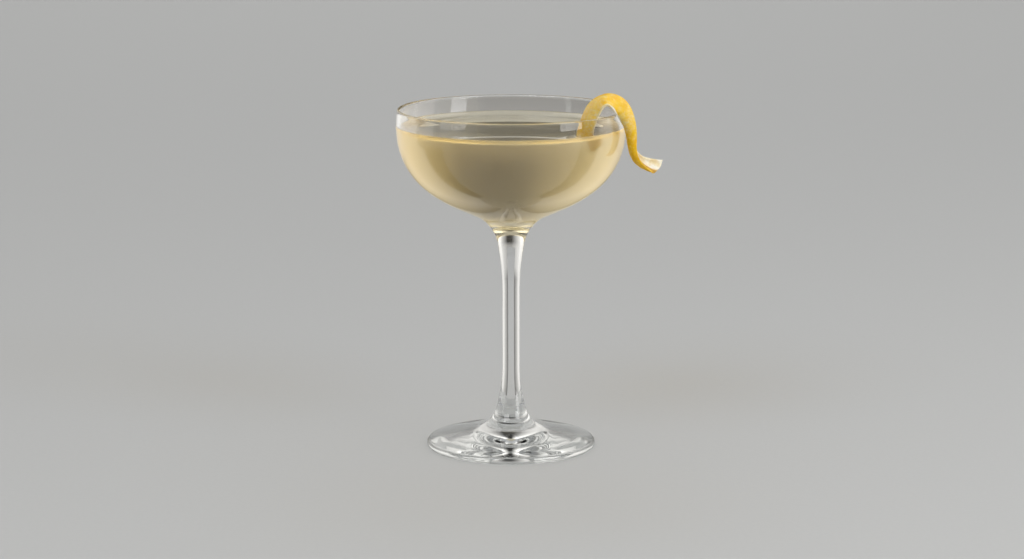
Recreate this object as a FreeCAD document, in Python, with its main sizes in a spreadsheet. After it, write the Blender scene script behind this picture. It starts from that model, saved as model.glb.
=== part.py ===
import FreeCAD, Part
import math
import os

import Sketcher

# A stemmed coupe of chilled cocktail with a strip of lemon peel hooked over its rim.
# Millimetres. The origin is on the glass's axis in the plane that the foot rests on.
# +Z is up and -Y is the front.

# Driving sizes. Angles are in degrees.
SIZES = {
    # the bowl
    "total_height": 144.0,
    "bowl_radius": 48.0,
    "belly_drop": 8.0,
    "rim_curve": 80.0,
    "belly_curve": 33.2,
    "belly_turn": 52.7,
    "wall": 1.3,
    # the cone and the neck under the bowl
    "bowl_slope": 24.2,
    "neck_curve": 16.7,
    "taper_curve": 114.0,
    "taper_turn": 10.3,
    # the stem and its flare into the foot
    "stem_radius": 3.65,
    "low_curve": 75.0,
    "low_turn": 14.4,
    "flare_curve": 14.3,
    # the foot
    "foot_radius": 35.7,
    "foot_slope": 10.8,
    "foot_edge": 3.2,
    "ring_radius": 28.0,
    "recess_depth": 1.8,
    # the drink
    "fill_drop": 9.3,
    # the strip of lemon peel
    "peel_thickness": 1.2,
    "seat_bearing": -21.0,
    "end_cut": 45.0,
}

# Control stations of the peel, from its dipped end, over the rim, to its loose tip.
# Each is placed from the top of the lip's outer side, at the bearing where the peel sits:
# outward from the glass, along the rim and up. Then come how far the zest is turned
# from facing front, how far the strip is curled across its width, and that width.
STATIONS = {
    "dipped_end": (-12.0, -5.5, -13.0, -25.0, 90.0, 8.5),
    "dip": (-13.5, -7.0, -10.0, -20.0, 90.0, 8.5),
    "inner_leg": (-12.0, -9.0, -4.5, -50.0, 90.0, 8.5),
    "shoulder": (-9.0, -9.5, 2.5, -40.0, 60.0, 9.0),
    "crest": (-4.0, -8.0, 9.0, -80.0, 50.0, 9.0),
    "over_rim": (2.5, -3.0, 4.5, -35.0, 50.0, 8.5),
    "outer_leg": (4.5, -0.5, -3.0, -10.0, 140.0, 7.0),
    "waist": (3.5, 3.5, -11.5, 75.0, 200.0, 9.0),
    "bend": (5.0, 5.5, -21.0, 105.0, 180.0, 10.5),
    "tail": (10.5, 10.5, -23.0, 130.0, 160.0, 10.0),
    "tip": (12.0, 12.5, -23.5, 130.0, 110.0, 9.5),
}
STATION_FIELDS = ("out", "along", "rise", "turn", "curl", "width")

PEEL_SECTIONS = 25
ARC_POINTS = 7
END_CUT_START = 0.8
FRONT = FreeCAD.Vector(0, -1, 0)
UPRIGHT = FreeCAD.Vector(0, 0, 1)

START, END, CENTRE = 1, 2, 3
ROOT_POINT = (-1, 1)
H_AXIS, V_AXIS = -1, -2


def make_sheet(document):
    """Put the driving sizes and the peel's stations into the spreadsheet."""
    sheet = document.addObject("Spreadsheet::Sheet", "Sizes")
    rows = dict(SIZES)
    for station, numbers in STATIONS.items():
        for field, number in zip(STATION_FIELDS, numbers):
            rows[station + "_" + field] = number
    for row, (alias, number) in enumerate(rows.items(), start=1):
        sheet.set("A%d" % row, alias)
        sheet.set("B%d" % row, str(number))
        sheet.setAlias("B%d" % row, alias)
    document.recompute()
    return sheet


def polar(centre, radius, degrees):
    """The point at a radius and an angle from a centre, in the plane of the profile."""
    angle = math.radians(degrees)
    return FreeCAD.Vector(centre.x + radius * math.cos(angle), centre.y + radius * math.sin(angle), 0)


def arc(centre, radius, start, end):
    """A circular arc, counterclockwise from the start angle to the end angle."""
    circle = Part.Circle(centre, UPRIGHT, radius)
    return Part.ArcOfCircle(circle, math.radians(start), math.radians(end))


def line(start, end):
    """A straight segment."""
    return Part.LineSegment(start, end)


def bowl_centres(size):
    """The centres of the bowl's three arcs, and the radius of the lowest one outside."""
    belly_height = size.total_height - size.belly_drop
    rim = FreeCAD.Vector(size.bowl_radius - size.rim_curve, belly_height, 0)
    belly = FreeCAD.Vector(size.bowl_radius - size.belly_curve, belly_height, 0)
    turn = math.radians(size.belly_turn)
    base = FreeCAD.Vector(0, belly_height + belly.x * math.tan(turn), 0)
    base_curve = size.belly_curve + belly.x / math.cos(turn)
    return rim, belly, base, base_curve


def lip_angle(size):
    """How far the wall leans in where it meets the lip."""
    return math.degrees(math.asin((size.belly_drop - size.wall / 2) / (size.rim_curve - size.wall / 2)))


def glass_outline(size):
    """The half profile of bowl, stem and foot: arcs and lines that run into each other."""
    rim, belly, base, base_curve = bowl_centres(size)
    lean = lip_angle(size)
    lip = polar(rim, size.rim_curve - size.wall / 2, lean)
    cone_top = polar(base, base_curve, size.bowl_slope - 90)
    edge = size.foot_edge / 2
    edge_centre = FreeCAD.Vector(size.foot_radius - edge, edge, 0)
    foot_end = polar(edge_centre, edge, 90 - size.foot_slope)

    # Upwards from the foot's edge, every centre and joint follows from the stem.
    low_x = size.stem_radius + size.low_curve
    low_side = polar(FreeCAD.Vector(low_x, 0, 0), size.low_curve, 180 + size.low_turn)
    flare_side = polar(FreeCAD.Vector(0, 0, 0), size.flare_curve, size.low_turn)
    flare_x = low_side.x + flare_side.x
    flare_foot_x = flare_x - size.flare_curve * math.sin(math.radians(size.foot_slope))
    flare_foot_y = foot_end.y + (foot_end.x - flare_foot_x) * math.tan(math.radians(size.foot_slope))
    flare_y = flare_foot_y + size.flare_curve * math.cos(math.radians(size.foot_slope))
    flare = FreeCAD.Vector(flare_x, flare_y, 0)
    low_y = flare_y - flare_side.y - low_side.y
    low = FreeCAD.Vector(low_x, low_y, 0)

    # Downwards from the bowl, the cone ends where the neck's arc meets the taper's arc.
    taper_x = size.stem_radius + size.taper_curve
    taper_joint_x = taper_x - size.taper_curve * math.cos(math.radians(size.taper_turn))
    neck_x = taper_joint_x + size.neck_curve * math.cos(math.radians(size.taper_turn))
    cone_end_x = neck_x - size.neck_curve * math.sin(math.radians(size.bowl_slope))
    cone_end_y = cone_top.y - (cone_top.x - cone_end_x) * math.tan(math.radians(size.bowl_slope))
    neck_y = cone_end_y - size.neck_curve * math.cos(math.radians(size.bowl_slope))
    neck = FreeCAD.Vector(neck_x, neck_y, 0)
    taper_y = neck_y - (size.taper_curve - size.neck_curve) * math.sin(math.radians(size.taper_turn))
    taper = FreeCAD.Vector(taper_x, taper_y, 0)

    recess_curve = (size.ring_radius ** 2 + size.recess_depth ** 2) / (2 * size.recess_depth)
    recess = FreeCAD.Vector(0, size.recess_depth - recess_curve, 0)
    recess_side = math.degrees(math.acos(size.ring_radius / recess_curve))
    recess_top = FreeCAD.Vector(0, size.recess_depth, 0)
    hollow_bottom = FreeCAD.Vector(0, base.y - base_curve + size.wall, 0)

    return {
        "lip": arc(lip, size.wall / 2, lean, lean + 180),
        "rim": arc(rim, size.rim_curve, 0, lean),
        "belly": arc(belly, size.belly_curve, -size.belly_turn, 0),
        "base": arc(base, base_curve, size.bowl_slope - 90, -size.belly_turn),
        "cone": line(FreeCAD.Vector(cone_end_x, cone_end_y, 0), cone_top),
        "neck": arc(neck, size.neck_curve, 90 + size.bowl_slope, 180 - size.taper_turn),
        "taper": arc(taper, size.taper_curve, 180 - size.taper_turn, 180),
        "stem": line(FreeCAD.Vector(size.stem_radius, taper_y, 0), FreeCAD.Vector(size.stem_radius, low_y, 0)),
        "low": arc(low, size.low_curve, 180, 180 + size.low_turn),
        "flare": arc(flare, size.flare_curve, 180 + size.low_turn, 270 - size.foot_slope),
        "foot": line(FreeCAD.Vector(flare_foot_x, flare_foot_y, 0), foot_end),
        "edge": arc(edge_centre, edge, -90, 90 - size.foot_slope),
        "ring": line(FreeCAD.Vector(size.ring_radius, 0, 0), FreeCAD.Vector(edge_centre.x, 0, 0)),
        "recess": arc(recess, recess_curve, recess_side, 90),
        "core": line(recess_top, hollow_bottom),
        "inner_base": arc(base, base_curve - size.wall, -90, -size.belly_turn),
        "inner_belly": arc(belly, size.belly_curve - size.wall, -size.belly_turn, 0),
        "inner_rim": arc(rim, size.rim_curve - size.wall, 0, lean),
    }


def hollow_outline(size):
    """The half profile of the space inside the bowl, up to just below the lip."""
    rim, belly, base, base_curve = bowl_centres(size)
    inner_curve = size.rim_curve - size.wall
    brim = size.total_height - size.wall
    side = math.degrees(math.asin((brim - rim.y) / inner_curve))
    brim_end = polar(rim, inner_curve, side)
    bottom = FreeCAD.Vector(0, base.y - base_curve + size.wall, 0)
    return {
        "inner_base": arc(base, base_curve - size.wall, -90, -size.belly_turn),
        "inner_belly": arc(belly, size.belly_curve - size.wall, -size.belly_turn, 0),
        "inner_rim": arc(rim, inner_curve, 0, side),
        "brim": line(brim_end, FreeCAD.Vector(0, brim_end.y, 0)),
        "core": line(FreeCAD.Vector(0, brim_end.y, 0), bottom),
    }


def make_profile(body, name, outline):
    """A sketch on the body's XZ plane that holds an outline; gives each edge's number."""
    sketch = body.newObject("Sketcher::SketchObject", name)
    planes = [item for item in body.Origin.OriginFeatures if item.Role == "XZ_Plane"]
    sketch.AttachmentSupport = (planes[0], [""])
    sketch.MapMode = "FlatFace"
    edges = {}
    for edge_name, geometry in outline.items():
        edges[edge_name] = sketch.addGeometry(geometry, False)
    return sketch, edges


def bind(sketch, name, constraint, expression):
    """Add a constraint and bind its value to the spreadsheet."""
    index = sketch.addConstraint(constraint)
    sketch.renameConstraint(index, name)
    sketch.setExpression("Constraints." + name, expression)


def join(sketch, edges, kind, joints):
    """Join the named edges' ends, tangent or merely coincident."""
    for first, first_end, second, second_end in joints:
        sketch.addConstraint(Sketcher.Constraint(kind, edges[first], first_end, edges[second], second_end))


def bind_radius(sketch, edges, name, expression):
    """Bind an arc's radius."""
    number = edges[name]
    radius = sketch.Geometry[number].Radius
    bind(sketch, name + "_radius", Sketcher.Constraint("Radius", number, radius), expression)


def bind_turn(sketch, edges, name, degrees, expression):
    """Bind the angle that an arc turns through."""
    constraint = Sketcher.Constraint("Angle", edges[name], math.radians(degrees))
    bind(sketch, name + "_turn", constraint, expression)


def bind_place(sketch, edges, name, point, direction, value, expression):
    """Bind a point's distance from the origin across (DistanceX) or up (DistanceY)."""
    constraint = Sketcher.Constraint(direction, *ROOT_POINT, edges[name], point, value)
    bind(sketch, name + "_" + direction[-1].lower() + str(point), constraint, expression)


def on_axis(sketch, edges, name, point, axis):
    """Put a point of an edge on one of the sketch's own axes."""
    sketch.addConstraint(Sketcher.Constraint("PointOnObject", edges[name], point, axis))


def revolve(body, sketch, name):
    """Turn a half profile round the glass's axis."""
    revolution = body.newObject("PartDesign::Revolution", name)
    revolution.Profile = sketch
    revolution.ReferenceAxis = (sketch, ["V_Axis"])
    revolution.Angle = 360.0
    return revolution


def make_glass(document, size):
    """Bowl, stem and foot in one piece of blown glass."""
    body = document.addObject("PartDesign::Body", "Glass")
    body.Label = "glass"
    sketch, edges = make_profile(body, "GlassProfile", glass_outline(size))
    join(sketch, edges, "Tangent", (
        ("lip", START, "rim", END),
        ("rim", START, "belly", END),
        ("belly", START, "base", END),
        ("base", START, "cone", END),
        ("cone", START, "neck", START),
        ("neck", END, "taper", START),
        ("taper", END, "stem", START),
        ("stem", END, "low", START),
        ("low", END, "flare", START),
        ("flare", END, "foot", START),
        ("foot", END, "edge", END),
        ("edge", START, "ring", END),
        ("lip", END, "inner_rim", END),
        ("inner_rim", START, "inner_belly", END),
        ("inner_belly", START, "inner_base", END),
    ))
    join(sketch, edges, "Coincident", (
        ("ring", START, "recess", START),
        ("recess", END, "core", START),
        ("core", END, "inner_base", START),
        ("rim", CENTRE, "inner_rim", CENTRE),
        ("belly", CENTRE, "inner_belly", CENTRE),
        ("base", CENTRE, "inner_base", CENTRE),
    ))
    on_axis(sketch, edges, "ring", START, H_AXIS)
    on_axis(sketch, edges, "ring", END, H_AXIS)
    on_axis(sketch, edges, "recess", CENTRE, V_AXIS)
    on_axis(sketch, edges, "recess", END, V_AXIS)
    on_axis(sketch, edges, "inner_base", START, V_AXIS)
    on_axis(sketch, edges, "base", CENTRE, V_AXIS)
    sketch.addConstraint(Sketcher.Constraint("Vertical", edges["stem"]))
    belly_centre = (edges["belly"], CENTRE)
    sketch.addConstraint(Sketcher.Constraint("Horizontal", *belly_centre, edges["belly"], END))

    bind_place(sketch, edges, "belly", END, "DistanceX", size.bowl_radius, "Sizes.bowl_radius")
    belly_height = size.total_height - size.belly_drop
    bind_place(sketch, edges, "belly", END, "DistanceY", belly_height,
               "Sizes.total_height - Sizes.belly_drop")
    bind_radius(sketch, edges, "rim", "Sizes.rim_curve")
    bind_radius(sketch, edges, "belly", "Sizes.belly_curve")
    bind_turn(sketch, edges, "belly", size.belly_turn, "Sizes.belly_turn")
    bind_radius(sketch, edges, "lip", "Sizes.wall / 2")
    lip_height = size.total_height - size.wall / 2
    bind_place(sketch, edges, "lip", CENTRE, "DistanceY", lip_height, "Sizes.total_height - Sizes.wall / 2")
    bind_turn(sketch, edges, "cone", size.bowl_slope, "Sizes.bowl_slope")
    bind_radius(sketch, edges, "neck", "Sizes.neck_curve")
    bind_radius(sketch, edges, "taper", "Sizes.taper_curve")
    bind_turn(sketch, edges, "taper", size.taper_turn, "Sizes.taper_turn")
    bind_place(sketch, edges, "stem", START, "DistanceX", size.stem_radius, "Sizes.stem_radius")
    bind_radius(sketch, edges, "low", "Sizes.low_curve")
    bind_turn(sketch, edges, "low", size.low_turn, "Sizes.low_turn")
    bind_radius(sketch, edges, "flare", "Sizes.flare_curve")
    bind_turn(sketch, edges, "foot", -size.foot_slope, "-Sizes.foot_slope")
    bind_radius(sketch, edges, "edge", "Sizes.foot_edge / 2")
    edge_place = size.foot_radius - size.foot_edge / 2
    bind_place(sketch, edges, "edge", CENTRE, "DistanceX", edge_place,
               "Sizes.foot_radius - Sizes.foot_edge / 2")
    bind_place(sketch, edges, "ring", START, "DistanceX", size.ring_radius, "Sizes.ring_radius")
    bind_place(sketch, edges, "recess", END, "DistanceY", size.recess_depth, "Sizes.recess_depth")
    revolve(body, sketch, "GlassTurn")
    return body, sketch


def make_hollow(document, size):
    """The space inside the bowl, with the same three arcs as the glass's inner wall."""
    body = document.addObject("PartDesign::Body", "Hollow")
    body.Label = "bowl hollow"
    sketch, edges = make_profile(body, "HollowProfile", hollow_outline(size))
    join(sketch, edges, "Tangent", (
        ("inner_base", END, "inner_belly", START),
        ("inner_belly", END, "inner_rim", START),
    ))
    join(sketch, edges, "Coincident", (
        ("inner_rim", END, "brim", START),
        ("brim", END, "core", START),
        ("core", END, "inner_base", START),
    ))
    on_axis(sketch, edges, "inner_base", CENTRE, V_AXIS)
    on_axis(sketch, edges, "inner_base", START, V_AXIS)
    on_axis(sketch, edges, "brim", END, V_AXIS)
    sketch.addConstraint(Sketcher.Constraint("Horizontal", edges["brim"]))
    belly_centre = (edges["inner_belly"], CENTRE)
    sketch.addConstraint(Sketcher.Constraint("Horizontal", *belly_centre, edges["inner_belly"], END))
    inner_radius = size.bowl_radius - size.wall
    bind_place(sketch, edges, "inner_belly", END, "DistanceX", inner_radius,
               "Sizes.bowl_radius - Sizes.wall")
    belly_height = size.total_height - size.belly_drop
    bind_place(sketch, edges, "inner_belly", END, "DistanceY", belly_height,
               "Sizes.total_height - Sizes.belly_drop")
    bind_radius(sketch, edges, "inner_belly", "Sizes.belly_curve - Sizes.wall")
    bind_turn(sketch, edges, "inner_belly", size.belly_turn, "Sizes.belly_turn")
    bind_radius(sketch, edges, "inner_rim", "Sizes.rim_curve - Sizes.wall")
    bind_place(sketch, edges, "brim", START, "DistanceY", size.total_height - size.wall,
               "Sizes.total_height - Sizes.wall")
    revolve(body, sketch, "HollowTurn")
    return body, sketch


def peel_stations(size):
    """The stations as points in the part's frame, and their turns, curls and widths as vectors."""
    lean = math.radians(lip_angle(size))
    rim_radius = size.bowl_radius - size.rim_curve * (1 - math.cos(lean))
    bearing = math.radians(size.seat_bearing)
    outward = FreeCAD.Vector(math.cos(bearing), math.sin(bearing), 0)
    along = FreeCAD.Vector(-math.sin(bearing), math.cos(bearing), 0)
    seat = outward * rim_radius + UPRIGHT * size.total_height
    places = []
    shapes = []
    for station in STATIONS:
        numbers = [getattr(size, station + "_" + field) for field in STATION_FIELDS]
        out, side, rise, turn, curl, width = numbers
        places.append(seat + outward * out + along * side + UPRIGHT * rise)
        shapes.append(FreeCAD.Vector(turn, curl, width))
    return places, shapes


def peel_section(size, place, heading, turn, curl, width, cut):
    """One cross-section of the strip: a curled band with zest outside and pith inside.

    The band is an arc as wide as the strip, measured along the curl, with its middle
    turned from facing front by the given turn about the strip's heading.
    """
    front = FRONT - heading * FRONT.dot(heading)
    front.normalize()
    side = heading.cross(front)
    facing = front * math.cos(turn) + side * math.sin(turn)
    skewed = facing.cross(heading) - heading * math.tan(cut)
    half = curl / 2
    zest_radius = width / curl
    middle = (1 + math.cos(half)) / 2
    zest = []
    pith = []
    for index in range(ARC_POINTS):
        angle = half * (2 * index / (ARC_POINTS - 1) - 1)
        point = place + skewed * (zest_radius * math.sin(angle))
        point += facing * (zest_radius * (math.cos(angle) - middle))
        outward = skewed * math.sin(angle) + facing * math.cos(angle)
        zest.append(point)
        pith.append(point - outward * size.peel_thickness)
    pith.reverse()
    edges = []
    for points, following in ((zest, pith), (pith, zest)):
        curve = Part.BSplineCurve()
        curve.interpolate(points)
        edges.append(curve.toShape())
        edges.append(Part.LineSegment(points[-1], following[0]).toShape())
    return Part.Wire(edges)


def make_peel(document, size):
    """A strip of lemon peel that hooks over the rim, dips into the drink and curls outside."""
    places, shapes = peel_stations(size)
    route = Part.BSplineCurve()
    route.buildFromPoles(places, False, 3)
    form = Part.BSplineCurve()
    form.buildFromPoles(shapes, False, 3)
    sections = []
    for index in range(PEEL_SECTIONS):
        position = index / (PEEL_SECTIONS - 1)
        heading = route.getD1(position)[1]
        heading.normalize()
        shape = form.value(position)
        share = max(0.0, (position - END_CUT_START) / (1 - END_CUT_START))
        cut = math.radians(size.end_cut) * share ** 2
        sections.append(peel_section(size, route.value(position), heading,
                                     math.radians(shape.x), math.radians(shape.y), shape.z, cut))
    peel = document.addObject("Part::Feature", "LemonTwist")
    peel.Label = "lemon_twist"
    peel.Shape = Part.makeLoft(sections, True, False)
    peel.Placement = FreeCAD.Placement()
    return peel


def make_drink(document, size, hollow, peel):
    """The drink: the bowl's hollow up to the level, cut round the peel."""
    level = document.addObject("Part::Cylinder", "Level")
    level.Label = "drink level"
    level.setExpression("Radius", "Sizes.bowl_radius")
    level.setExpression("Height", "Sizes.total_height - Sizes.fill_drop")
    fill = document.addObject("Part::Common", "Fill")
    fill.Label = "bowl filled to the level"
    fill.Base = hollow
    fill.Tool = level
    drink = document.addObject("Part::Cut", "Drink")
    drink.Label = "drink"
    drink.Base = fill
    drink.Tool = peel
    return drink


def check(document, sketches, nodes):
    """Stop on any object that failed, any loose sketch and any bad solid."""
    for item in document.Objects:
        if "Invalid" in item.State or "Error" in item.State:
            raise RuntimeError(item.Label + " failed: " + str(item.State))
    for sketch in sketches:
        if sketch.solve() != 0 or not sketch.FullyConstrained:
            raise RuntimeError(sketch.Label + " is not fully constrained")
    for node in nodes:
        shape = node.Shape
        if shape.isNull() or not shape.isValid() or len(shape.Solids) != 1:
            raise RuntimeError(node.Label + " is not one valid solid")


def main():
    document = FreeCAD.newDocument("Cocktail")
    size = make_sheet(document)
    glass, glass_sketch = make_glass(document, size)
    hollow, hollow_sketch = make_hollow(document, size)
    peel = make_peel(document, size)
    drink = make_drink(document, size, hollow, peel)
    document.recompute()
    nodes = (glass, drink, peel)
    check(document, (glass_sketch, hollow_sketch), nodes)
    os.makedirs("parts", exist_ok=True)
    for node in nodes:
        node.Shape.exportStep("parts/" + node.Label + ".step")
        print(node.Label, "volume %.1f mm3" % node.Shape.Volume)


main()
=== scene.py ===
import math

import bpy
import numpy as np
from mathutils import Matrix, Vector


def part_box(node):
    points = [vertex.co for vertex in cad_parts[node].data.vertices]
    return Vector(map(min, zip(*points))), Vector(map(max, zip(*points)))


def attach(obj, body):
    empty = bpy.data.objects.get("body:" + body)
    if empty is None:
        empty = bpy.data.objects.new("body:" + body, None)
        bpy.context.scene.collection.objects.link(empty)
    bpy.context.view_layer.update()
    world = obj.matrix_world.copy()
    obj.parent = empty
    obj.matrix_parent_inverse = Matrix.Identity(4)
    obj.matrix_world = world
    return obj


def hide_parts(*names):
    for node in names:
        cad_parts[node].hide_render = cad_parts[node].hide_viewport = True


# A stemmed coupe of chilled cocktail with a strip of lemon peel hooked over its rim.
# Metres. +Z is up and -Y is the front.

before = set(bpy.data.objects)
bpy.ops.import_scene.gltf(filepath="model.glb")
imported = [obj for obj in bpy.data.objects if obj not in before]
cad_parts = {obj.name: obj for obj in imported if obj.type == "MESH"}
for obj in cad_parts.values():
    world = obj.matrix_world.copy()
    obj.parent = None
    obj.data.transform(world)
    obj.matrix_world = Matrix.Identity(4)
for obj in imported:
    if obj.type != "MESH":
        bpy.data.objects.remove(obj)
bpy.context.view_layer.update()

MM = 0.001

# ---------------------------------------------------------------------------
# Sizes. What the frame's solids give is read from them.
# ---------------------------------------------------------------------------

TOTAL_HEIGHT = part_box("glass")[1].z
BOWL_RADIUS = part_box("glass")[1].x
DRINK_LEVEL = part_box("drink")[1].z

# the bowl
BELLY_DROP = 8.0 * MM
RIM_CURVE = 80.0 * MM
BELLY_CURVE = 33.2 * MM
BELLY_TURN = 52.7
WALL = 1.3 * MM
# the cone and the neck under the bowl
BOWL_SLOPE = 24.2
NECK_CURVE = 16.7 * MM
TAPER_CURVE = 114.0 * MM
TAPER_TURN = 10.3
# the stem and its flare into the foot
STEM_RADIUS = 3.65 * MM
LOW_CURVE = 75.0 * MM
LOW_TURN = 14.4
FLARE_CURVE = 14.3 * MM
# the foot
FOOT_RADIUS = 35.7 * MM
FOOT_SLOPE = 10.8
FOOT_EDGE = 3.2 * MM
RING_RADIUS = 28.0 * MM
RECESS_DEPTH = 1.8 * MM

# the slow waver of blown glass
WAVER_DEPTH = 0.03 * MM
WAVER_LENGTH = 9.0 * MM

# the drink, which reaches just into the wall and climbs it in a meniscus
REACH = 0.25 * MM
MENISCUS_RISE = 2.5 * MM
MENISCUS_LENGTH = 1.9 * MM
PEEL_RISE = 0.9 * MM
PEEL_LENGTH = 1.3 * MM

# the strip of lemon peel, whose loose end is cut askew and a little rounded
PEEL_THICKNESS = 1.2 * MM
SEAT_BEARING = -21.0
END_CUT = 45.0
END_CUT_START = 0.8
END_BULGE = 1.6 * MM
END_BULGE_START = 0.9
EDGE_BULGE = 0.12 * MM
# its relief: oil glands and slow waves in the zest, coarse and fine waves in the pith
PORE_SPACING = 0.62 * MM
PORE_RADIUS = 0.26 * MM
PORE_DEPTH = 0.07 * MM
ZEST_RELIEF = 0.05 * MM
ZEST_WAVE = 3.0 * MM
PITH_RELIEF = 0.10 * MM
PITH_WAVE = 2.2 * MM
PITH_GRAIN = 0.8 * MM

# Stations of the peel, from its dipped end, over the rim, to its loose tip: outward from
# the glass, along the rim and up (mm), then the zest's turn and the strip's curl (degrees),
# and the strip's width (mm).
STATIONS = {
    "dipped_end": (-12.0, -5.5, -13.0, -25.0, 90.0, 8.5),
    "dip": (-13.5, -7.0, -10.0, -20.0, 90.0, 8.5),
    "inner_leg": (-12.0, -9.0, -4.5, -50.0, 90.0, 8.5),
    "shoulder": (-9.0, -9.5, 2.5, -40.0, 60.0, 9.0),
    "crest": (-4.0, -8.0, 9.0, -80.0, 50.0, 9.0),
    "over_rim": (2.5, -3.0, 4.5, -35.0, 50.0, 8.5),
    "outer_leg": (4.5, -0.5, -3.0, -10.0, 140.0, 7.0),
    "waist": (3.5, 3.5, -11.5, 75.0, 200.0, 9.0),
    "bend": (5.0, 5.5, -21.0, 105.0, 180.0, 10.5),
    "tail": (10.5, 10.5, -23.0, 130.0, 160.0, 10.0),
    "tip": (12.0, 12.5, -23.5, 130.0, 110.0, 9.5),
}

# Where the strip's looks change, in shares of its half width, its thickness and its length.
# Each place where the zest is paler, partly its own tone and partly painted light, has its middle, its
# reach and its strength.
PEEL_LOOKS = ("pith", "gland", "pale_and_lit", "curl_shade")
LOOKS_WAVE = 4.0 * MM
PITH_START = 0.12
PITH_FADE = 0.2
BEVEL_START = 0.86
BEVEL_WAVER = 0.03
BEVEL_FADE = 0.05
# The dipped end's zest is paled with painted light, so that it glows through the drink.
DIPPED_GLOW_END = 0.10
DIPPED_GLOW_FADE = 0.06
DIPPED_GLOW_STRENGTH = 1.5
PALE_AND_LIT_PLACES = ((0.20, 0.13, 1.0), (0.58, 0.08, 0.9))
# Painted shade inside the tail's curl: the pith along one edge is coloured yellow and brown, the yellow
# standing in for light thrown from the zest.
CURL_SHADE_EDGE = -0.1
CURL_SHADE_WIDTH = 0.8
CURL_SHADE_START = 0.66
CURL_SHADE_FADE = 0.1

# How finely the surfaces are divided
SEGMENTS = 240
CHORD_ERROR = 0.002 * MM
PEEL_STEPS = 480
PEEL_COLUMNS = 52
PEEL_LAYERS = 6
SURFACE_RINGS = 60

SEED = 11


# ---------------------------------------------------------------------------
# Small tools
# ---------------------------------------------------------------------------


def colour(code):
    """A hex sRGB colour as linear red, green and blue, with an alpha of 1."""
    values = np.array([int(code[place:place + 2], 16) for place in (1, 3, 5)]) / 255
    linear = np.where(values <= 0.04045, values / 12.92, ((values + 0.055) / 1.055) ** 2.4)
    return (*linear, 1.0)


def add(tree, kind, inputs=None, **settings):
    """Adds a node with its settings.

    Each input is a socket to link from, a node whose first output is linked, a hex colour or
    a plain value. A Mix node's colours are its inputs 6 and 7 and its output 2.
    """
    node = tree.nodes.new("ShaderNode" + kind)
    for name, value in settings.items():
        setattr(node, name, value)
    for name, value in (inputs or {}).items():
        if isinstance(value, bpy.types.Node):
            value = value.outputs[0]
        if isinstance(value, bpy.types.NodeSocket):
            tree.links.new(value, node.inputs[name])
        elif isinstance(value, str):
            node.inputs[name].default_value = colour(value)
        else:
            node.inputs[name].default_value = value
    return node


def new_material(name):
    """An empty material and its tree."""
    material = bpy.data.materials.new(name)
    material.use_nodes = True
    material.node_tree.nodes.clear()
    return material, material.node_tree


def make_piece(name, points, faces, material):
    """A smooth mesh object from an array of points and a list of faces."""
    mesh = bpy.data.meshes.new(name)
    mesh.from_pydata(points.tolist(), [], faces)
    mesh.shade_smooth()
    mesh.materials.append(material)
    piece = bpy.data.objects.new(name, mesh)
    bpy.context.scene.collection.objects.link(piece)
    return piece


def give_attribute(piece, name, values):
    """Stores one number for each of the piece's points, for its material to read."""
    attribute = piece.data.attributes.new(name, "FLOAT", "POINT")
    attribute.data.foreach_set("value", np.ascontiguousarray(values, dtype=np.float32))


def grid_quads(index):
    """Quads between the neighbours in a grid of point numbers."""
    corners = [index[:-1, :-1], index[:-1, 1:], index[1:, 1:], index[1:, :-1]]
    return np.stack(corners, axis=-1).reshape(-1, 4)


def closed_round(index):
    """A grid of point numbers whose last column meets its first."""
    return np.hstack([index, index[:, :1]])


def smooth_step(values):
    """0 below 0, 1 above 1 and 3x^2 - 2x^3 between."""
    share = np.clip(values, 0.0, 1.0)
    return share * share * (3 - 2 * share)


# ---------------------------------------------------------------------------
# Turned pieces: the glass and the drink
# ---------------------------------------------------------------------------


def arc(centre, radius, start, end):
    """Points on a circle from the start angle to the end angle, in degrees.

    The step between two points is the angle whose chord lies CHORD_ERROR inside the circle.
    """
    turn = math.radians(end - start)
    steps = math.ceil(abs(turn) / math.sqrt(8 * CHORD_ERROR / radius))
    angle = math.radians(start) + turn * np.arange(steps + 1) / steps
    return np.column_stack([centre[0] + radius * np.cos(angle), centre[1] + radius * np.sin(angle)])


def line(start, end, steps):
    """Evenly spaced points on a straight line."""
    share = np.arange(steps + 1)[:, None] / steps
    return np.asarray(start) + share * (np.asarray(end) - np.asarray(start))


def run_on(runs):
    """Runs of points that each start where the last one ends, as one run."""
    return np.vstack([run[:-1] for run in runs] + [runs[-1][-1:]])


def polar(centre, radius, degrees):
    """The point at a radius and an angle from a centre."""
    angle = math.radians(degrees)
    return np.array([centre[0] + radius * math.cos(angle), centre[1] + radius * math.sin(angle)])


def bowl_centres():
    """The centres of the bowl's three arcs, and the radius of the lowest one outside."""
    belly_height = TOTAL_HEIGHT - BELLY_DROP
    rim = (BOWL_RADIUS - RIM_CURVE, belly_height)
    belly = (BOWL_RADIUS - BELLY_CURVE, belly_height)
    turn = math.radians(BELLY_TURN)
    base = (0.0, belly_height + belly[0] * math.tan(turn))
    return rim, belly, base, BELLY_CURVE + belly[0] / math.cos(turn)


def lip_lean():
    """How far the wall leans in where it meets the lip, in degrees."""
    return math.degrees(math.asin((BELLY_DROP - WALL / 2) / (RIM_CURVE - WALL / 2)))


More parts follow.
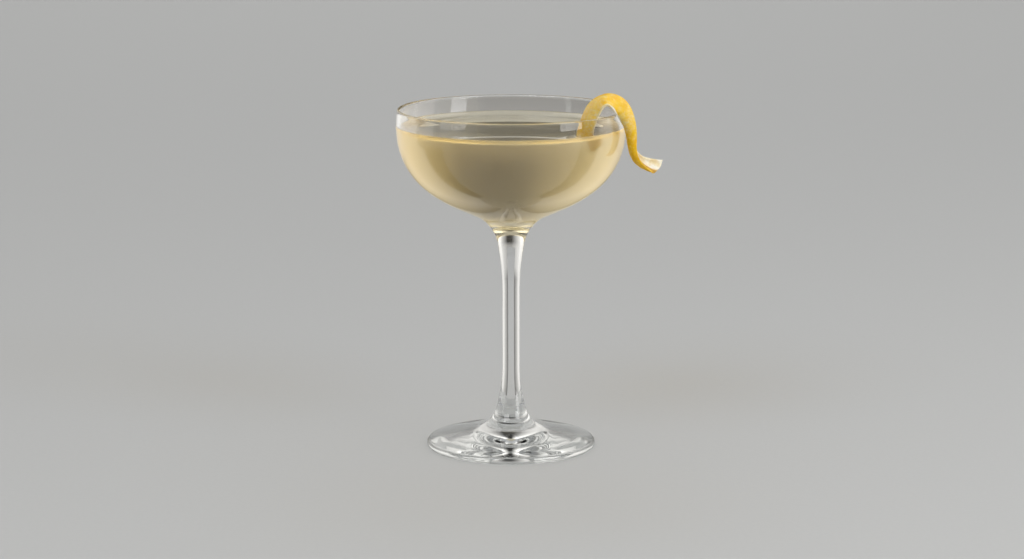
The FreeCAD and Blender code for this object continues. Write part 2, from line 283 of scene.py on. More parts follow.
def foot_profile():
    """Radius and height from the axis under the foot, round its edge and up to the stem."""
    slope = math.radians(FOOT_SLOPE)
    recess_curve = (RING_RADIUS ** 2 + RECESS_DEPTH ** 2) / (2 * RECESS_DEPTH)
    recess_side = math.degrees(math.acos(RING_RADIUS / recess_curve))
    edge = FOOT_EDGE / 2
    edge_centre = (FOOT_RADIUS - edge, edge)
    foot_end = polar(edge_centre, edge, 90 - FOOT_SLOPE)
    low_x = STEM_RADIUS + LOW_CURVE
    flare_x = low_x - (LOW_CURVE - FLARE_CURVE) * math.cos(math.radians(LOW_TURN))
    flare_foot_x = flare_x - FLARE_CURVE * math.sin(slope)
    flare_foot_y = foot_end[1] + (foot_end[0] - flare_foot_x) * math.tan(slope)
    flare = (flare_x, flare_foot_y + FLARE_CURVE * math.cos(slope))
    low_y = flare[1] + (LOW_CURVE - FLARE_CURVE) * math.sin(math.radians(LOW_TURN))
    return run_on([
        arc((0, RECESS_DEPTH - recess_curve), recess_curve, 90, recess_side),
        line((RING_RADIUS, 0), (edge_centre[0], 0), 3),
        arc(edge_centre, edge, -90, 90 - FOOT_SLOPE),
        line(foot_end, (flare_foot_x, flare_foot_y), 10),
        arc(flare, FLARE_CURVE, 270 - FOOT_SLOPE, 180 + LOW_TURN),
        arc((low_x, low_y), LOW_CURVE, 180 + LOW_TURN, 180),
    ])


def neck_profile():
    """Radius and height from the top of the straight stem to the cone under the bowl."""
    _, _, base, base_curve = bowl_centres()
    slope = math.radians(BOWL_SLOPE)
    turn = math.radians(TAPER_TURN)
    cone_top = polar(base, base_curve, BOWL_SLOPE - 90)
    taper_x = STEM_RADIUS + TAPER_CURVE
    neck_x = taper_x - (TAPER_CURVE - NECK_CURVE) * math.cos(turn)
    cone_end_x = neck_x - NECK_CURVE * math.sin(slope)
    cone_end_y = cone_top[1] - (cone_top[0] - cone_end_x) * math.tan(slope)
    neck_y = cone_end_y - NECK_CURVE * math.cos(slope)
    taper_y = neck_y - (TAPER_CURVE - NECK_CURVE) * math.sin(turn)
    return run_on([
        arc((taper_x, taper_y), TAPER_CURVE, 180, 180 - TAPER_TURN),
        arc((neck_x, neck_y), NECK_CURVE, 180 - TAPER_TURN, 90 + BOWL_SLOPE),
        line((cone_end_x, cone_end_y), cone_top, 8),
    ])


def bowl_profile():
    """Radius and height from the cone up the bowl, over the lip and down inside to the axis."""
    rim, belly, base, base_curve = bowl_centres()
    lean = lip_lean()
    lip = polar(rim, RIM_CURVE - WALL / 2, lean)
    return run_on([
        arc(base, base_curve, BOWL_SLOPE - 90, -BELLY_TURN),
        arc(belly, BELLY_CURVE, -BELLY_TURN, 0),
        arc(rim, RIM_CURVE, 0, lean),
        arc(lip, WALL / 2, lean, lean + 180),
        arc(rim, RIM_CURVE - WALL, lean, 0),
        arc(belly, BELLY_CURVE - WALL, 0, -BELLY_TURN),
        arc(base, base_curve - WALL, -BELLY_TURN, -90),
    ])


def glass_profile():
    """The glass's whole half profile, from the axis under the foot to the axis in the bowl."""
    foot = foot_profile()
    neck = neck_profile()
    return run_on([foot, line(foot[-1], neck[0], 12), neck, bowl_profile()])


def meniscus(distance, rise, length):
    """The height to which a liquid climbs at a distance from a wall: rise e^(-distance/length)."""
    return rise * np.exp(-distance / length)


def drink_profile():
    """Radius and height of the drink, up just inside the wall and in along its surface."""
    rim, belly, base, base_curve = bowl_centres()
    inset = WALL - REACH
    contact = DRINK_LEVEL + MENISCUS_RISE
    side = math.degrees(math.asin((contact - rim[1]) / (RIM_CURVE - inset)))
    inner_rim = polar(rim, RIM_CURVE - WALL, side)[0]
    spacing = np.geomspace(1, 100, SURFACE_RINGS)
    inward = (spacing - 1) / (spacing[-1] - 1) * inner_rim
    surface = np.column_stack([
        inner_rim - inward, DRINK_LEVEL + meniscus(inward, MENISCUS_RISE, MENISCUS_LENGTH)])
    return run_on([
        arc(base, base_curve - inset, -90, -BELLY_TURN),
        arc(belly, BELLY_CURVE - inset, -BELLY_TURN, 0),
        arc(rim, RIM_CURVE - inset, 0, side),
        line(polar(rim, RIM_CURVE - inset, side), surface[0], 1),
        surface,
    ])


def turned(profile):
    """A half profile turned round Z: x = r cos a, y = r sin a, z = height.

    Its two ends lie on the axis, and each becomes a single point. Gives the points, as the
    first pole, the rings and the last pole, and the angle of each.
    """
    angle = 2 * math.pi * np.arange(SEGMENTS) / SEGMENTS
    rings = profile[1:-1]
    x = rings[:, :1] * np.cos(angle)
    y = rings[:, :1] * np.sin(angle)
    z = np.broadcast_to(rings[:, 1:], x.shape)
    points = np.stack([x, y, z], axis=-1).reshape(-1, 3)
    poles = [(0.0, 0.0, profile[end, 1]) for end in (0, -1)]
    angles = np.concatenate([[0.0], np.tile(angle, len(rings)), [0.0]])
    return np.vstack([poles[:1], points, poles[1:]]), angles


def turned_faces(profile):
    """Quads between neighbouring rings, and fans of triangles that close the two poles."""
    rings = len(profile) - 2
    ring = 1 + np.arange(rings * SEGMENTS).reshape(rings, SEGMENTS)
    after = np.roll(ring, -1, axis=1)
    quads = grid_quads(closed_round(ring))
    first = np.column_stack([np.zeros(SEGMENTS, int), after[0], ring[0]])
    last = np.column_stack([ring[-1], after[-1], np.full(SEGMENTS, 1 + rings * SEGMENTS)])
    return first.tolist() + quads.tolist() + last.tolist()


def blown_waver(profile, angles):
    """How far blown glass lies inside its true form: two slow waves round and along the wall."""
    along = np.concatenate([[0.0], np.cumsum(np.linalg.norm(np.diff(profile, axis=0), axis=1))])
    run = np.concatenate([along[:1], np.repeat(along[1:-1], SEGMENTS), along[-1:]])
    round_wave = 1 + np.sin(2 * angles + run / WAVER_LENGTH)
    cross_wave = 1 + np.sin(3 * angles - run / (1.7 * WAVER_LENGTH) + 1.0)
    return WAVER_DEPTH * round_wave * cross_wave / 4


def make_glass(material):
    """Bowl, stem and foot in one, with the slight waver of blown glass."""
    profile = glass_profile()
    points, angles = turned(profile)
    radius = np.hypot(points[:, 0], points[:, 1])
    inside = blown_waver(profile, angles) * smooth_step(radius / STEM_RADIUS)
    shrink = 1 - np.divide(inside, radius, out=np.zeros_like(radius), where=radius > 0)
    points[:, :2] *= shrink[:, None]
    return make_piece("coupe_glass", points, turned_faces(profile), material)


def make_drink(material, peel_points):
    """The drink, whose surface climbs the wall and the peel where it dips in.

    The surface is the last rings and the pole in their middle. Its distance from the peel is
    taken to every fourth of the peel's points near the level.
    """
    profile = drink_profile()
    points, _ = turned(profile)
    top = np.zeros(len(points), bool)
    top[-1 - (SURFACE_RINGS - 2) * SEGMENTS:] = True
    dipped = peel_points[np.abs(peel_points[:, 2] - DRINK_LEVEL) < PEEL_RISE]
    gaps = points[top][:, None, :2] - dipped[None, ::4, :2]
    distance = np.linalg.norm(gaps, axis=-1).min(axis=1)
    points[top, 2] += meniscus(distance, PEEL_RISE, PEEL_LENGTH)
    drink = make_piece("cocktail", points, turned_faces(profile), material)
    give_attribute(drink, "surface", top)
    return drink


# ---------------------------------------------------------------------------
# The strip of lemon peel
# ---------------------------------------------------------------------------


def spline_shares(poles, positions):
    """The share of each pole in a clamped cubic B-spline, at positions from 0 to 1.

    Cox and de Boor's rule: a share of degree d blends two neighbouring shares of degree d-1,
    each by how far the position lies along the share's own knots.
    """
    degree = 3
    inner = np.arange(1, poles - degree) / (poles - degree)
    knots = np.concatenate([np.zeros(degree + 1), inner, np.ones(degree + 1)])
    place = np.minimum(positions, 1 - 1e-12)[:, None]
    shares = ((knots[:-1] <= place) & (place < knots[1:])).astype(float)
    for step in range(1, degree + 1):
        empty = np.zeros_like(shares[:, 1:])
        width = knots[step:-1] - knots[:-step - 1]
        rising = np.divide(place - knots[:-step - 1], width, out=empty.copy(), where=width > 0)
        width = knots[step + 1:] - knots[1:-step]
        falling = np.divide(knots[step + 1:] - place, width, out=empty.copy(), where=width > 0)
        shares = rising * shares[:, :-1] + falling * shares[:, 1:]
    return shares


def peel_route(positions):
    """Places, headings, facings, skewed sides, curls and widths along the strip."""
    stations = np.array(list(STATIONS.values()))
    rim_radius = BOWL_RADIUS - RIM_CURVE * (1 - math.cos(math.radians(lip_lean())))
    bearing = math.radians(SEAT_BEARING)
    outward = np.array([math.cos(bearing), math.sin(bearing), 0.0])
    along = np.array([-math.sin(bearing), math.cos(bearing), 0.0])
    up = np.array([0.0, 0.0, 1.0])
    seat = outward * rim_radius + up * TOTAL_HEIGHT
    shares = spline_shares(len(stations), positions)
    values = shares @ stations
    places = seat + values[:, :3] * MM @ np.array([outward, along, up])
    heading = np.gradient(places, positions, axis=0, edge_order=2)
    heading /= np.linalg.norm(heading, axis=1, keepdims=True)
    front = np.array([0.0, -1.0, 0.0])
    front = front - heading * (heading @ front)[:, None]
    front /= np.linalg.norm(front, axis=1, keepdims=True)
    turn, curl = np.radians(values[:, 3:5]).T
    side = np.cross(heading, front)
    facing = front * np.cos(turn)[:, None] + side * np.sin(turn)[:, None]
    share = np.maximum(0.0, (positions - END_CUT_START) / (1 - END_CUT_START))
    cut = math.radians(END_CUT) * share ** 2
    skewed = np.cross(facing, heading) - heading * np.tan(cut)[:, None]
    return places, heading, facing, skewed, curl, values[:, 5] * MM


def jittered_distance(x, y, spacing, seed):
    """Distance from each place to the nearest of the points scattered one to a square cell.

    The nine cells round each place are tried in turn.
    """
    cell_x = np.floor(x / spacing).astype(int)
    cell_y = np.floor(y / spacing).astype(int)
    cell_x -= cell_x.min() - 1
    cell_y -= cell_y.min() - 1
    local_x = x / spacing - np.floor(x / spacing)
    local_y = y / spacing - np.floor(y / spacing)
    scatter = np.random.default_rng(seed).random((cell_x.max() + 2, cell_y.max() + 2, 2))
    nearest = np.full(x.shape, np.inf)
    for step_x in (-1, 0, 1):
        for step_y in (-1, 0, 1):
            shift = scatter[cell_x + step_x, cell_y + step_y]
            gap = np.hypot(step_x + shift[..., 0] - local_x, step_y + shift[..., 1] - local_y)
            nearest = np.minimum(nearest, gap)
    return nearest * spacing


def soft_waves(x, y, length, seed):
    """A slow uneven relief, mostly between -1 and 1, with a spread of a half.

    It is a sum of eight plane waves with scattered headings and lengths, over the root of
    twice their number.
    """
    random = np.random.default_rng(seed)
    total = np.zeros_like(x)
    waves = 8
    for heading, phase, pitch in random.random((waves, 3)):
        angle = 2 * math.pi * heading
        size = length * (0.6 + 0.8 * pitch)
        run = x * math.cos(angle) + y * math.sin(angle)
        total += np.sin(2 * math.pi * (run / size + phase))
    return total / math.sqrt(2 * waves)


def peel_surface(across, depth, positions):
    """Points of the strip at shares across (-1 to 1), into (0 zest, 1 pith) and along it (0 to 1).

    A band is an arc as wide as the strip, measured along its curl, turned to its facing.
    The zest is dimpled with oil glands and the pith is softly uneven. Both fade out at the
    two cut edges, which bulge a little. Gives the points and what the material reads.
    """
    places, heading, facing, skewed, curl, width = [value[:, None] for value in peel_route(positions)]
    steps = np.linalg.norm(np.diff(places[:, 0], axis=0), axis=1)
    length = np.concatenate([[0.0], np.cumsum(steps)])
    x = across * width / 2
    y = length[:, None] + np.zeros_like(x)

    fade = 1 - across ** 10
    glands = 1 - smooth_step(jittered_distance(x, y, PORE_SPACING, SEED) / PORE_RADIUS)
    zest = ZEST_RELIEF * soft_waves(x, y, ZEST_WAVE, SEED + 1) - PORE_DEPTH * glands
    coarse = soft_waves(x, y, PITH_WAVE, SEED + 2)
    fine = soft_waves(x, y, PITH_GRAIN, SEED + 3)
    pith = PITH_RELIEF * (coarse + 0.5 * fine)
    lift = fade * (zest * (1 - depth) - pith * depth) - PEEL_THICKNESS * depth
    bulge = EDGE_BULGE * 4 * depth * (1 - depth) * across ** 9
    rounding = END_BULGE * smooth_step((positions[:, None] - END_BULGE_START) / (1 - END_BULGE_START))

    half = curl / 2
    angle = (half * across)[..., None]
    radius = (width / curl)[..., None]
    middle = (1 + np.cos(half[..., None])) / 2
    outward = skewed * np.sin(angle) + facing * np.cos(angle)
    sideways = skewed * np.cos(angle) - facing * np.sin(angle)
    points = places + skewed * radius * np.sin(angle) + facing * radius * (np.cos(angle) - middle)
    points = points + outward * lift[..., None] + sideways * bulge[..., None]
    points = points + heading * (rounding * (1 - across ** 2))[..., None]
    return points, peel_looks(across, depth, y / length[-1], glands * fade, x, y)


def peel_looks(across, depth, along, glands, x, y):
    """What the strip's material reads: pith, glands, paler and painted-lit zest, and painted shade on the
    pith, each 0 to 1.

    The cut is bevelled along one edge, so a line of pith shows beside the zest there. The
    zest is paled in two places along the strip, partly as its own tone and partly as painted
    light, and its dipped end is paled with painted light so that it glows through the drink.
    Along the other edge of the loose tail, inside its curl, the pith carries painted shade in
    yellow and brown, the yellow standing in for light thrown from the zest.
    """
    waves = soft_waves(x, y, LOOKS_WAVE, SEED + 4)
    bevel = smooth_step((-across - BEVEL_START + BEVEL_WAVER * waves) / BEVEL_FADE)
    pith = np.maximum(smooth_step((depth - PITH_START) / PITH_FADE), bevel)
    # Painted light: the dipped end is paled so that it glows, and two places are paled, partly as their own
    # tone and partly as painted light.
    pale = DIPPED_GLOW_STRENGTH * smooth_step((DIPPED_GLOW_END - along) / DIPPED_GLOW_FADE)
    for middle, reach, strength in PALE_AND_LIT_PLACES:
        pale = pale + strength * np.exp(-((along - middle) / reach) ** 2)
    pale_and_lit = np.clip(pale * (0.75 - 0.35 * across) + 0.25 * waves, 0, 1)
    # Painted shade inside the tail's curl, yellow with light thrown from the zest.
    curl_shade = smooth_step((across - CURL_SHADE_EDGE) / CURL_SHADE_WIDTH)
    curl_shade = curl_shade * smooth_step((along - CURL_SHADE_START) / CURL_SHADE_FADE)
    return [pith, glands, pale_and_lit, curl_shade]


def peel_end(ring, first):
    """The point numbers of an end face: its border is a ring, its inside counts on from first."""
    columns, layers = PEEL_COLUMNS, PEEL_LAYERS
    index = np.empty((columns + 1, layers + 1), int)
    inside = np.arange((columns - 1) * (layers - 1)).reshape(columns - 1, layers - 1)
    index[1:-1, 1:-1] = first + inside
    index[:, 0] = ring[:columns + 1]
    index[-1, :] = ring[columns:columns + layers + 1]
    index[:, -1] = ring[columns + layers:2 * columns + layers + 1][::-1]
    index[0, 1:] = ring[2 * columns + layers:][::-1]
    return index


def make_peel(material):
    """The strip as one closed skin: a ring of points round each section, and two end faces.

    Gives the piece and its points.
    """
    columns, layers = PEEL_COLUMNS, PEEL_LAYERS
    over = np.linspace(-1, 1, columns + 1)
    into = np.linspace(0, 1, layers + 1)
    across = np.concatenate([over, np.ones(layers - 1), over[::-1], -np.ones(layers - 1)])
    depth = np.concatenate([np.zeros(columns + 1), into[1:-1], np.ones(columns + 1), into[-2:0:-1]])
    positions = np.linspace(0, 1, PEEL_STEPS + 1)
    points, looks = peel_surface(across[None, :], depth[None, :], positions)
    grids = np.meshgrid(over[1:-1], into[1:-1], indexing="ij")
    inner_across, inner_depth = [grid.ravel()[None, :] for grid in grids]
    inner_points, inner_looks = peel_surface(inner_across, inner_depth, positions)

    ring = np.arange(len(positions) * len(across)).reshape(len(positions), len(across))
    dipped_end = peel_end(ring[0], ring.size)
    loose_end = peel_end(ring[-1], ring.size + inner_across.size)
    quads = [grid_quads(closed_round(ring).T), grid_quads(dipped_end)[:, ::-1], grid_quads(loose_end)]
    skin = np.vstack([points.reshape(-1, 3), inner_points[0], inner_points[-1]])
    piece = make_piece("lemon_peel", skin, np.vstack(quads).tolist(), material)
    for name, look, inner in zip(PEEL_LOOKS, looks, inner_looks):
        give_attribute(piece, name, np.concatenate([look.ravel(), inner[0], inner[-1]]))
    return piece, skin


# ---------------------------------------------------------------------------
# Materials
# ---------------------------------------------------------------------------


def let_lamps_through(tree, shader, tint):
    """Lamps and light from dull surfaces cross a clear piece unbent, a little tinted."""
    path = add(tree, "LightPath")
    through = add(tree, "BsdfTransparent", {"Color": tint})
    for ray in ("Is Shadow Ray", "Is Diffuse Ray"):
        shader = add(tree, "MixShader", {0: path.outputs[ray], 1: shader, 2: through})
    return shader


def blown_crystal():
    """Lead-free crystal glass, blown and fire-polished: colourless, with sharp clear highlights."""
    material, tree = new_material("blown_crystal_glass")
    shader = add(tree, "BsdfPrincipled", {
        "Base Color": "#ffffff",
        "Roughness": 0.0,
        "IOR": 1.53,
        "Transmission Weight": 1.0,
    })
    surface = let_lamps_through(tree, shader, "#f4f5f5")
    volume = add(tree, "VolumeAbsorption", {"Color": "#eef4f2", "Density": 4.0})
    add(tree, "OutputMaterial", {"Surface": surface, "Volume": volume})
    return material


def sour_cocktail():
    """Spirit with lemon juice and syrup, strained: pale straw, and slightly cloudy with juice.

    Its sides blur what lies behind them, and its still surface is clear and mirror-like, and tinted paler
    than the body as painted light for the lit band of its meniscus.
    """
    material, tree = new_material("strained_citrus_cocktail")
    top = add(tree, "Attribute", attribute_name="surface").outputs["Fac"]
    haze = add(tree, "MapRange", {"Value": top, "To Min": 0.28, "To Max": 0.02})
    # Painted light: the surface is tinted paler than the body, so the lit meniscus band along the wall
    # comes out cream.
    tint = add(tree, "Mix", {0: top, 6: "#f3edd6", 7: "#fdfbf4"}, data_type="RGBA")
    shader = add(tree, "BsdfPrincipled", {
        "Base Color": tint.outputs[2],
        "Roughness": haze,
        "IOR": 1.35,
        "Transmission Weight": 0.96,
        "Coat Weight": 1.0,
        "Coat Roughness": 0.0,
        "Coat IOR": 1.35,
    })
    surface = let_lamps_through(tree, shader, "#f3e6c6")
    volume = add(tree, "VolumeAbsorption", {"Color": "#fce89a", "Density": 12.5})
    add(tree, "OutputMaterial", {"Surface": surface, "Volume": volume})
    return material


def lemon_peel():
    """Fresh lemon peel, pared: waxy yellow zest pitted with oil glands over dull white pith.

    The zest is a saturated lemon, flecked in places and darker in each gland, and paler in places,
    partly its own tone and partly painted light; its dipped end is paled with painted light. Inside
    the tail's curl the cream pith carries painted shade, zest-yellow and brown. Blotches are about
    4 mm across, flecks 0.9 mm and the skin's grain 0.35 mm.
    """
    material, tree = new_material("pared_lemon_peel")
    pith, gland, pale_and_lit, curl_shade = [
        add(tree, "Attribute", attribute_name=name).outputs["Fac"] for name in PEEL_LOOKS]
    place = add(tree, "TexCoord").outputs["Object"]
    blotches = add(tree, "TexNoise", {"Vector": place, "Scale": 1 / (4.0 * MM), "Detail": 3.0})
    flecks = add(tree, "TexNoise", {"Vector": place, "Scale": 1 / (0.9 * MM), "Detail": 2.0})
    grain = add(tree, "TexNoise", {"Vector": place, "Scale": 1 / (0.35 * MM), "Detail": 3.0})

    ripeness = add(tree, "MapRange", {"Value": blotches, "From Min": 0.35, "From Max": 0.65})
    ripe = add(tree, "Mix", {0: ripeness, 6: "#efb906", 7: "#f6c81a"}, data_type="RGBA")
    faint = add(tree, "MapRange", {"Value": flecks, "From Min": 0.46, "From Max": 0.66, "To Max": 0.20})
    flecked = add(tree, "Mix", {0: faint, 6: ripe.outputs[2], 7: "#fde391"}, data_type="RGBA")
    full = add(tree, "MapRange", {"Value": flecks, "From Min": 0.46, "From Max": 0.66})
    pale = add(tree, "Mix", {0: full, 6: "#fbdc72", 7: "#fbe7b4"}, data_type="RGBA")
    # The zest's paler places are partly its own tone and partly painted light.
    skin = add(tree, "Mix", {0: pale_and_lit, 6: flecked.outputs[2], 7: pale.outputs[2]}, data_type="RGBA")
    oily = add(tree, "MapRange", {"Value": gland, "To Max": 0.40})
    zest = add(tree, "Mix", {0: oily, 6: skin.outputs[2], 7: "#e5ab2c"}, data_type="RGBA")

    clean = add(tree, "MapRange", {"Value": blotches, "From Min": 0.40, "From Max": 0.60})
    cream = add(tree, "Mix", {0: clean, 6: "#efdcae", 7: "#fdf6e6"}, data_type="RGBA")
    # Painted shade inside the tail's curl: yellow and brown on the pith.
    curl_shade_mottle = add(tree, "MapRange", {"Value": flecks, "From Min": 0.40, "From Max": 0.62})
    curl_shade_colour = add(tree, "Mix", {0: curl_shade_mottle, 6: "#c58f2c", 7: "#dfb554"}, data_type="RGBA")
    inside = add(tree, "Mix", {0: curl_shade, 6: cream.outputs[2], 7: curl_shade_colour.outputs[2]}, data_type="RGBA")
    body = add(tree, "Mix", {0: pith, 6: zest.outputs[2], 7: inside.outputs[2]}, data_type="RGBA")

    dull = add(tree, "MapRange", {"Value": pith, "To Min": 0.42, "To Max": 0.75})
    bump = add(tree, "Bump", {"Height": grain, "Strength": 0.25, "Distance": 0.05 * MM})
    shader = add(tree, "BsdfPrincipled", {
        "Base Color": body.outputs[2],
        "Roughness": dull,
        "IOR": 1.45,
        "Specular IOR Level": 0.3,
        "Subsurface Weight": 0.15,
        "Subsurface Radius": (1.0, 0.7, 0.3),
        "Subsurface Scale": 0.8 * MM,
        "Normal": bump,
    })
    add(tree, "OutputMaterial", {"Surface": shader})
    return material


def studio_paper():
    """Matt background paper: a pale neutral grey with a faint pulp grain, 2 mm across."""
    material, tree = new_material("background_paper")
    place = add(tree, "TexCoord").outputs["Object"]
    pulp = add(tree, "TexNoise", {"Vector": place, "Scale": 1 / (2.0 * MM), "Detail": 3.0})
    tone = add(tree, "Mix", {0: pulp, 6: "#c5c5c3", 7: "#c9c9c7"}, data_type="RGBA")
    shader = add(tree, "BsdfPrincipled", {
        "Base Color": tone.outputs[2],
        "Roughness": 0.85,
        "Specular IOR Level": 0.0,
    })
    add(tree, "OutputMaterial", {"Surface": shader})
    return material


def lit_diffuser():
    """Diffuser cloth lit from behind at the glass's two sides, and unlit grey in between.

    The glow rises with the bearing from straight behind and stops at a black edge, and it is
    stronger higher up. In the middle the cloth goes from the table's tone at its foot to near
    black. The shift to the left fades in above the hem.
    """
    material, tree = new_material("lit_diffuser_cloth")
    place = add(tree, "SeparateXYZ", {"Vector": add(tree, "TexCoord").outputs["Object"]}).outputs
    raised = add(tree, "MapRange", {"Value": place["Z"], "From Min": CLOTH_HEM, "From Max": 2 * CLOTH_HEM})
    left = add(tree, "Math", {0: place["X"], 1: 0.0}, operation="LESS_THAN")
    shift = add(tree, "Math", {0: left, 1: raised}, operation="MULTIPLY")
    aside = add(tree, "Math", {0: place["X"]}, operation="ABSOLUTE")
    turn = add(tree, "Math", {0: aside, 1: place["Y"]}, operation="ARCTAN2")
    bearing = add(tree, "Math", {0: shift, 1: math.radians(LEFT_SHIFT), 2: turn}, operation="MULTIPLY_ADD")
    rising = add(tree, "MapRange", {
        "Value": bearing,
        "From Min": math.radians(GLOW_START),
        "From Max": math.radians(GLOW_FULL),
    })
    ending = add(tree, "MapRange", {
        "Value": bearing,
        "From Min": math.radians(GLOW_END),
        "From Max": math.radians(GLOW_EDGE),
    })
    lit = add(tree, "Math", {0: rising, 1: ending}, operation="MULTIPLY")
    glow = add(tree, "MapRange", {
        "Value": place["Z"],
        "From Min": GLOW_LOW,
        "From Max": GLOW_HIGH,
        "To Min": GLOW_WEAK,
        "To Max": GLOW_STRONG,
    })
    near_foot = add(tree, "MapRange", {"Value": place["Z"], "From Min": CLOTH_DARK, "From Max": CLOTH_FOOT})
    foot = add(tree, "Math", {0: near_foot, 1: raised}, operation="MULTIPLY")
    unlit = add(tree, "MapRange", {"Value": foot, "To Min": UNLIT_DARK, "To Max": UNLIT_FOOT})
    strength = add(tree, "Mix", {0: lit, 2: unlit.outputs[0], 3: glow.outputs[0]})
    shader = add(tree, "Emission", {"Color": "#fffdf8", "Strength": strength})
    add(tree, "OutputMaterial", {"Surface": shader})
    return material


# ---------------------------------------------------------------------------
# Stage, lights and camera
# ---------------------------------------------------------------------------

SWEEP_HALF_WIDTH = 3.5
SWEEP_FRONT = -3.5
SWEEP_BACK = 3.4
SWEEP_BEND = 0.6
SWEEP_TOP = 2.6
FLOOR_GAP = 0.05 * MM

# Clear glass shows what stands round it, so it is lit as glassware is: a cloth glows at its
# two sides and draws its edges, and the unlit cloth behind keeps its middle dark. First the
# cloth's radii and heights.
CLOTH_INNER = 0.042
CLOTH_RADIUS = 0.36
SKIRT_HEIGHT = 1.0 * MM
CLOTH_HEM = 0.025
CLOTH_FOOT = 0.09
CLOTH_DARK = 0.15
CLOTH_TOP = 1.0
# Then its bearings, in degrees from straight behind: where its skirt over the table starts,
# where the cloth ends, and where the glow starts, is full, starts to end and has ended. On
# the left the glow lies a little nearer to the middle.
SKIRT_START = 14
CLOTH_END = 110
CLOTH_STEP = 2
GLOW_START = 10
GLOW_FULL = 44
GLOW_EDGE = 84
GLOW_END = 88
LEFT_SHIFT = 8
# Last the heights at which the glow is weak and strong, its strengths there, and those of
# the unlit cloth at its dark top and at its foot.
GLOW_LOW = 0.05
GLOW_HIGH = 0.5
GLOW_WEAK = 0.9
GLOW_STRONG = 1.9
UNLIT_DARK = 0.03
UNLIT_FOOT = 0.36

# Where the camera stands and points, its lens in mm, and what the lamps point at
CAMERA_PLACE = Vector((0.41, -1187.86, 299.47)) * MM
CAMERA_TARGET = Vector((0.41, 0.0, 71.53)) * MM
CAMERA_LENS = 100.94
LAMP_TARGET = (0.0, 0.0, 0.12)

# How steeply up, as a share of straight up, the room's light is weak and strong, and its
# strengths there
ROOM_LOW = 0.1
ROOM_HIGH = 0.8
ROOM_WEAK = 0.20
ROOM_STRONG = 0.50


def make_sweep(material):
    """A paper sweep: flat floor, a quarter circle behind and a wall, carried across X."""
    floor = line((SWEEP_FRONT, -FLOOR_GAP), (SWEEP_BACK, -FLOOR_GAP), 20)
    angle = np.radians(np.linspace(-90, 0, 25))
    bend_y = SWEEP_BACK + SWEEP_BEND * np.cos(angle)
    bend_z = SWEEP_BEND * (1 + np.sin(angle)) - FLOOR_GAP
    bend = np.column_stack([bend_y, bend_z])
    wall = line(bend[-1], (SWEEP_BACK + SWEEP_BEND, SWEEP_TOP), 6)
    profile = run_on([floor, bend, wall])
    x = np.linspace(-SWEEP_HALF_WIDTH, SWEEP_HALF_WIDTH, 21)
    across, y = np.meshgrid(x, profile[:, 0])
    z = np.broadcast_to(profile[:, 1:], y.shape)
    points = np.stack([across, y, z], axis=-1).reshape(-1, 3)
    index = np.arange(len(points)).reshape(y.shape)
    sweep = make_piece("paper_sweep", points, grid_quads(index).tolist(), material)


def make_surround(material):
    """A curved cloth behind the glass, for glass and gloss alone: (r sin b, r cos b, z).

    The profile runs out over the table, then up. Its skirt over the table and its wall up to
    the foot are left out straight behind the glass. The cloth is seen in reflections and
    through clear pieces, and lights and shades nothing dull.
    """
    profile = np.array([
        (CLOTH_INNER, SKIRT_HEIGHT),
        (CLOTH_RADIUS, SKIRT_HEIGHT),
        (CLOTH_RADIUS, CLOTH_FOOT),
        (CLOTH_RADIUS, CLOTH_DARK),
        (CLOTH_RADIUS, CLOTH_TOP),
    ])
    bearing = np.radians(np.arange(-CLOTH_END, CLOTH_END + 1, CLOTH_STEP))
    x = profile[:, :1] * np.sin(bearing)
    y = profile[:, :1] * np.cos(bearing)
    z = np.broadcast_to(profile[:, 1:], x.shape)
    points = np.stack([x, y, z], axis=-1).reshape(-1, 3)
    index = np.arange(len(points)).reshape(x.shape)
    middle = (bearing[1:] + bearing[:-1]) / 2
    aside = np.abs(middle) > math.radians(SKIRT_START)
    whole = np.ones(len(middle), bool)
    kept = np.concatenate([aside, aside, whole, whole])
    cloth = make_piece("diffuser_cloth", points, grid_quads(index)[kept].tolist(), material)
    cloth.visible_camera = False
    cloth.visible_diffuse = False
    cloth.visible_shadow = False


def make_softbox(name, place, width, height, watts, aim=LAMP_TARGET, seen_through=False, lights_dull=True):
    """A rectangular softbox at a place, facing a point, and out of the camera's sight.

    Clear pieces show it behind them only where it is seen through. One that doesn't light
    dull surfaces is there for its reflection in glass and gloss.
    """
    data = bpy.data.lights.new(name, "AREA")
    data.shape = "RECTANGLE"
    data.size = width
    data.size_y = height
    data.energy = watts
    lamp = bpy.data.objects.new(name, data)
    lamp.location = place
    lamp.visible_camera = False
    lamp.visible_transmission = seen_through
    lamp.visible_diffuse = lights_dull
    lamp.rotation_euler = (Vector(aim) - Vector(place)).to_track_quat("-Z", "Y").to_euler()
    bpy.context.scene.collection.objects.link(lamp)


def light_room():
    """Grey light from the room round the table, weak at eye level and strong overhead."""
    world = bpy.data.worlds.new("studio_room")
    world.use_nodes = True
    tree = world.node_tree
    tree.nodes.clear()
    heading = add(tree, "SeparateXYZ", {"Vector": add(tree, "TexCoord").outputs["Generated"]})
    strength = add(tree, "MapRange", {
        "Value": heading.outputs["Z"],
        "From Min": ROOM_LOW,
        "From Max": ROOM_HIGH,
        "To Min": ROOM_WEAK,
        "To Max": ROOM_STRONG,
    })
    background = add(tree, "Background", {"Color": "#f4f5f7", "Strength": strength})
    add(tree, "OutputWorld", {"Surface": background})
    bpy.context.scene.world = world


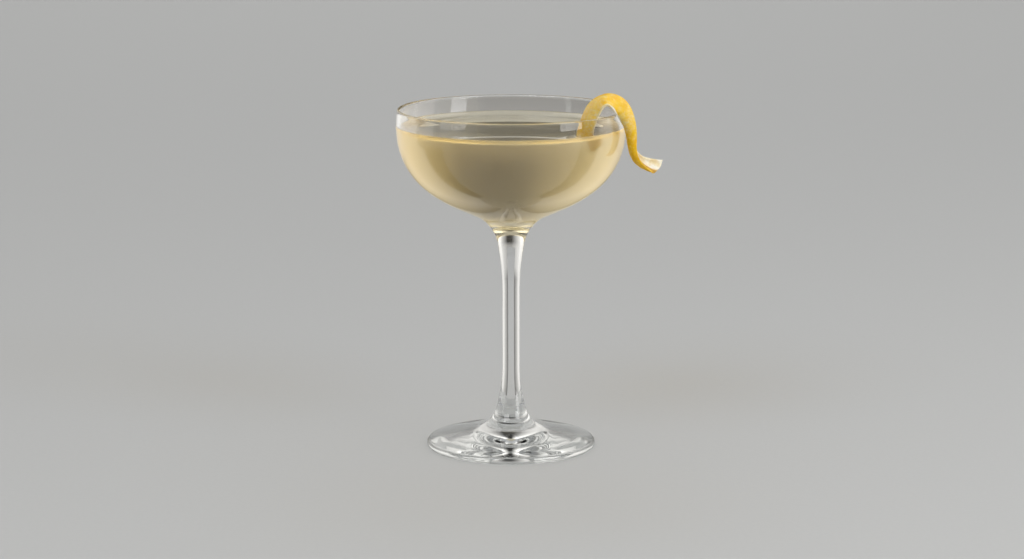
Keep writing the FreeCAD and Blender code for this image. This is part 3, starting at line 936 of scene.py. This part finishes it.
def light_table():
    """Soft light on the table, and lamps that only draw highlights in glass and gloss.

    The key, the fill and the low softbox on the right light the object, and the top softbox
    the paper behind it.
    """
    make_softbox("key_softbox", (-0.9, -1.3, 1.5), width=1.1, height=0.9, watts=11)
    make_softbox("fill_softbox", (1.2, -1.1, 1.1), width=0.8, height=0.8, watts=9.5)
    make_softbox("left_low_softbox", (-1.3, -0.40, 0.42), width=0.6, height=0.7, watts=2, lights_dull=False)
    make_softbox("right_low_softbox", (1.25, -0.65, 0.42), width=0.7, height=0.7, watts=6)
    make_softbox("left_strip", (-0.9, 0.35, 0.55), width=0.05, height=0.9, watts=3, lights_dull=False)
    make_softbox("right_strip", (0.9, 0.25, 0.55), width=0.05, height=0.9, watts=3, lights_dull=False)
    make_softbox("top_softbox", (0.0, 2.5, 2.5), width=3.2, height=2.4, watts=30,
                 aim=(0.0, 2.5, 0.0), seen_through=True)
    for name, x in (("left_panel", -1.15), ("right_panel", 1.15)):
        make_softbox(name, (x, 0.75, 0.68), width=1.0, height=1.1, watts=2,
                     seen_through=True, lights_dull=False)


def make_camera():
    """A long lens in front of the glass, looking a little down on it."""
    data = bpy.data.cameras.new("camera")
    data.lens = CAMERA_LENS
    data.sensor_width = 36.0
    data.clip_start = 0.05
    camera = bpy.data.objects.new("camera", data)
    camera.location = CAMERA_PLACE
    camera.rotation_euler = (CAMERA_TARGET - CAMERA_PLACE).to_track_quat("-Z", "Y").to_euler()
    bpy.context.scene.collection.objects.link(camera)
    bpy.context.scene.camera = camera


def set_rendering():
    """Enough bounces for light to pass glass, drink and glass again, and a plain view."""
    scene = bpy.context.scene
    scene.view_settings.view_transform = "Standard"
    scene.cycles.max_bounces = 24
    scene.cycles.transmission_bounces = 24
    scene.cycles.glossy_bounces = 12
    scene.cycles.transparent_max_bounces = 24
    scene.cycles.diffuse_bounces = 4
    scene.cycles.use_denoising = True


def main():
    """Makes the pieces in place of the frame's solids, then the stage, lights and camera."""
    glass = make_glass(blown_crystal())
    peel, peel_points = make_peel(lemon_peel())
    drink = make_drink(sour_cocktail(), peel_points)
    pieces = ((glass, "glass", "glass"), (drink, "drink", "drink"), (peel, "lemon_twist", "peel"))
    for piece, node, slot in pieces:
        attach(piece, "root")
        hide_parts(node)
    make_sweep(studio_paper())
    make_surround(lit_diffuser())
    light_room()
    light_table()
    make_camera()
    set_rendering()


main()
